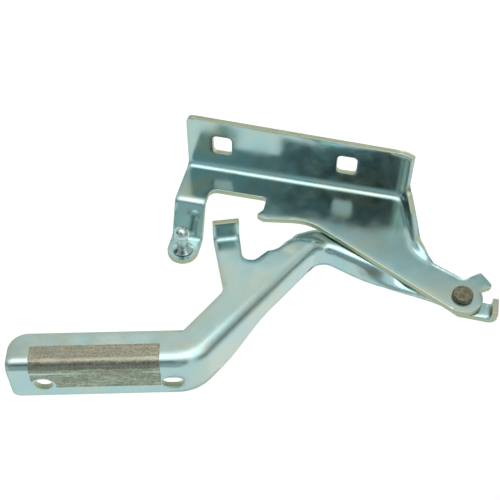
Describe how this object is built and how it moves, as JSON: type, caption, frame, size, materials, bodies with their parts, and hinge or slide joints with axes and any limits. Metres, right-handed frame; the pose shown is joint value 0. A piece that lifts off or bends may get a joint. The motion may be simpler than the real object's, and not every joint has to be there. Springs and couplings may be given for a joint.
{
  "type": "hood hinge",
  "caption": "Pressed-steel hood hinge: flanged body bracket with a ball stud tongue, and a gooseneck arm with a bolting flange, joined by a riveted pivot.",
  "frame": {"origin": "on the body bracket's mounting face, midway between its two bolt holes", "axes": "+X along the bolt line away from the pivot, +Z out of the mounting face through the bracket towards the hood arm, and +Y from the bolt line towards the web, along the pivot's axis"},
  "size_m": [0.2721, 0.0707, 0.1864],
  "materials": {
    "bracket_zinc": "bright zinc plate with a clear blue passivate",
    "arm_zinc": "bright zinc plate with a clear blue passivate",
    "rivet_steel": "dull bare steel",
    "bush_bronze": "sintered bronze",
    "washer_steel": "spring steel",
    "stud_zinc": "turned and zinc plated",
    "tape_film": "wrinkled, aged adhesive tape"
  },
  "bodies": {
    "bracket": {"body_bracket": "bracket_zinc", "pivot_rivet": "rivet_steel", "spacer_washer": "washer_steel", "ball_stud": "stud_zinc"},
    "arm": {"gooseneck_arm": "arm_zinc", "pivot_bush": "bush_bronze", "adhesive_tape": "tape_film"}
  },
  "joints": [
    {"name": "arm_pivot", "type": "hinge", "parent": "bracket", "child": "arm", "pos_m": [-0.1245, 0.0247, 0.078], "axis": [0, -1, 0], "range_deg": [-3, 27.5]}
  ]
}
